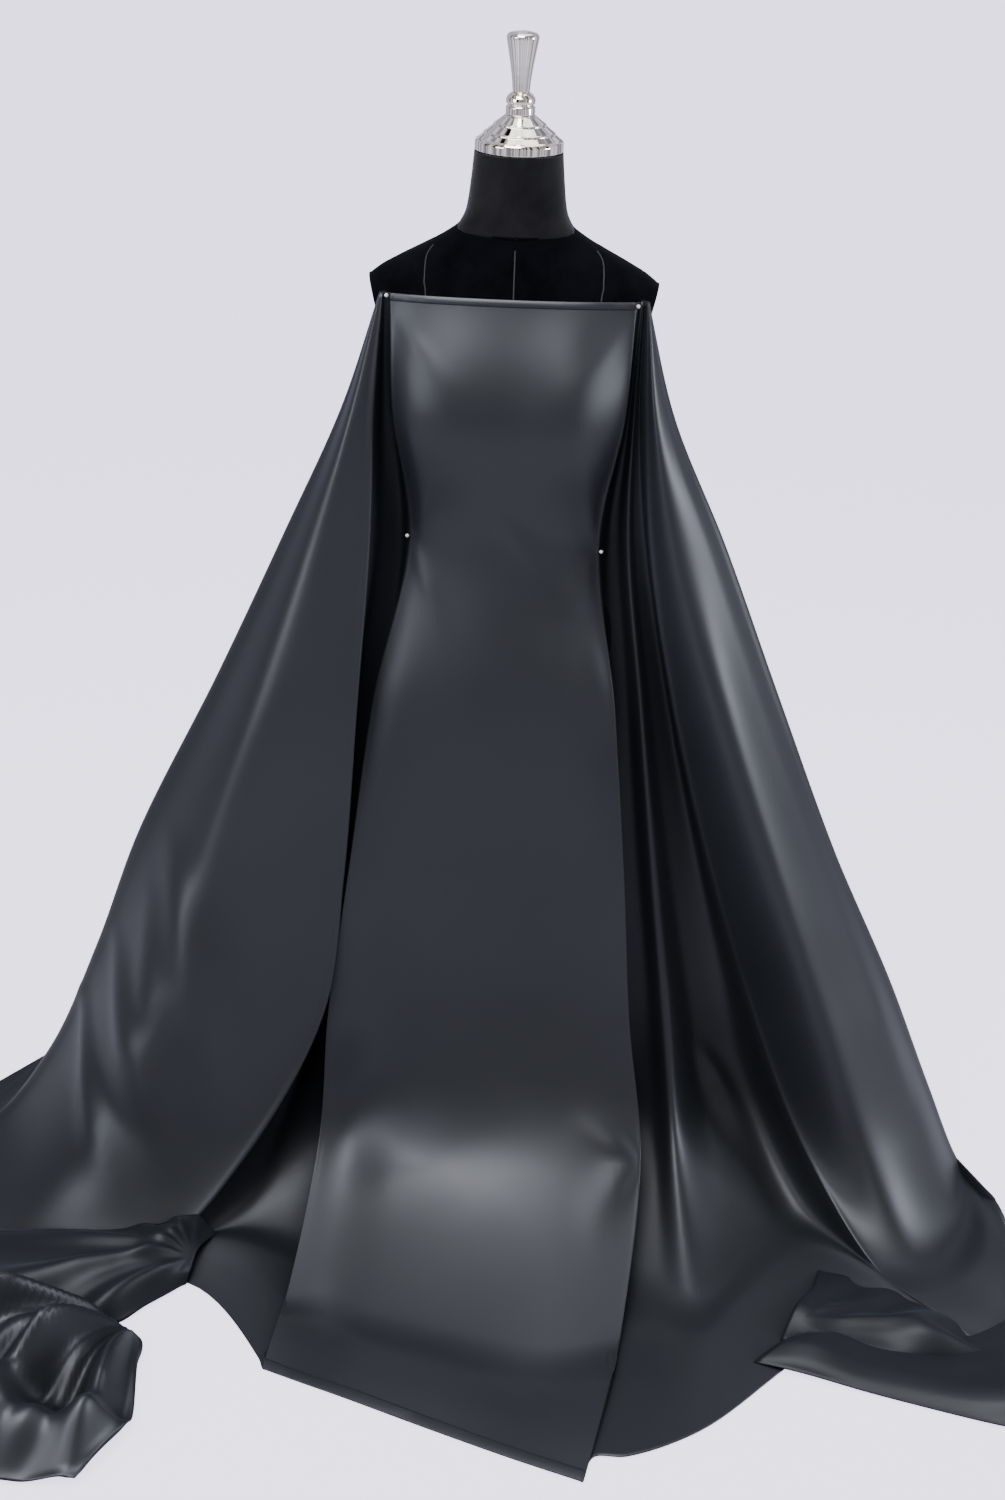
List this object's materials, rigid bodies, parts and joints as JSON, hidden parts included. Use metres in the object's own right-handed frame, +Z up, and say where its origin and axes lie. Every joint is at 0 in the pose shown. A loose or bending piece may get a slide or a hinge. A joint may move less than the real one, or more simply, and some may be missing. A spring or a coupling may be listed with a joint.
{
  "type": "dress form mannequin",
  "caption": "Velvet-covered female dress form on a swivelling, height-adjustable chrome pole stand, with a chrome neck cap and finial and a pinned length of satin.",
  "frame": {"origin": "on the floor, under the centre of the pole", "axes": "+Z up, the front of the form faces -Y, +X is to the right in a view from the front"},
  "size_m": [1.88, 1.09, 1.5678],
  "materials": {
    "velvet": "matte pile",
    "satin": "sheen",
    "chrome": "polished",
    "steel": "satin",
    "rubber": "matte",
    "plywood": "raw",
    "shell": "matte",
    "nylon": "matte",
    "knob": "gloss",
    "pearl": "pearlescent"
  },
  "bodies": {
    "base": {"base_plate": "chrome", "bolt_cap": "rubber", "base_feet": "rubber", "base_bolt": "steel", "base_washer": "steel", "column_plug": "steel", "column_flange": "chrome", "outer_column": "chrome", "column_bush": "nylon"},
    "collar": {"height_collar": "chrome", "clamp_shoe": "nylon"},
    "clamp": {"clamp_screw": "steel", "clamp_knob": "knob"},
    "form": {"torso_shell_front": "shell", "torso_shell_back": "shell", "front_centre_panel_right": "velvet", "front_centre_panel_left": "velvet", "front_side_panel_right": "velvet", "front_side_panel_left": "velvet", "back_centre_panel_right": "velvet", "back_centre_panel_left": "velvet", "back_side_panel_right": "velvet", "back_side_panel_left": "velvet", "neck_cover": "velvet", "armplate_right": "velvet", "armplate_left": "velvet", "hip_board": "plywood", "neck_board": "plywood", "pole_socket": "steel", "socket_screws": "steel", "socket_set_screws": "steel", "inner_pole": "chrome", "pole_guide": "nylon", "neck_nut": "steel", "neck_washer": "steel", "finial_stud": "steel", "neck_cap": "chrome", "finial_ferrule": "chrome", "satin_drape": "satin", "pin_heads": "pearl", "pin_shafts": "steel"},
    "finial": {"finial": "chrome"}
  },
  "joints": [
    {"name": "form_swivel", "type": "hinge", "parent": "base", "child": "collar", "pos_m": [0, 0, 0.6], "axis": [0, 0, 1], "continuous": true},
    {"name": "height_slide", "type": "slide", "parent": "collar", "child": "form", "axis": [0, 0, 1], "range_m": [0, 0.25]},
    {"name": "clamp_turn", "type": "hinge", "parent": "collar", "child": "clamp", "pos_m": [0, 0.033, 0.6166], "axis": [0, 1, 0], "range_deg": [0, 270]},
    {"name": "finial_turn", "type": "hinge", "parent": "form", "child": "finial", "pos_m": [0, 0.001, 1.43], "axis": [0, -0.0698, 0.9976], "continuous": true}
  ]
}
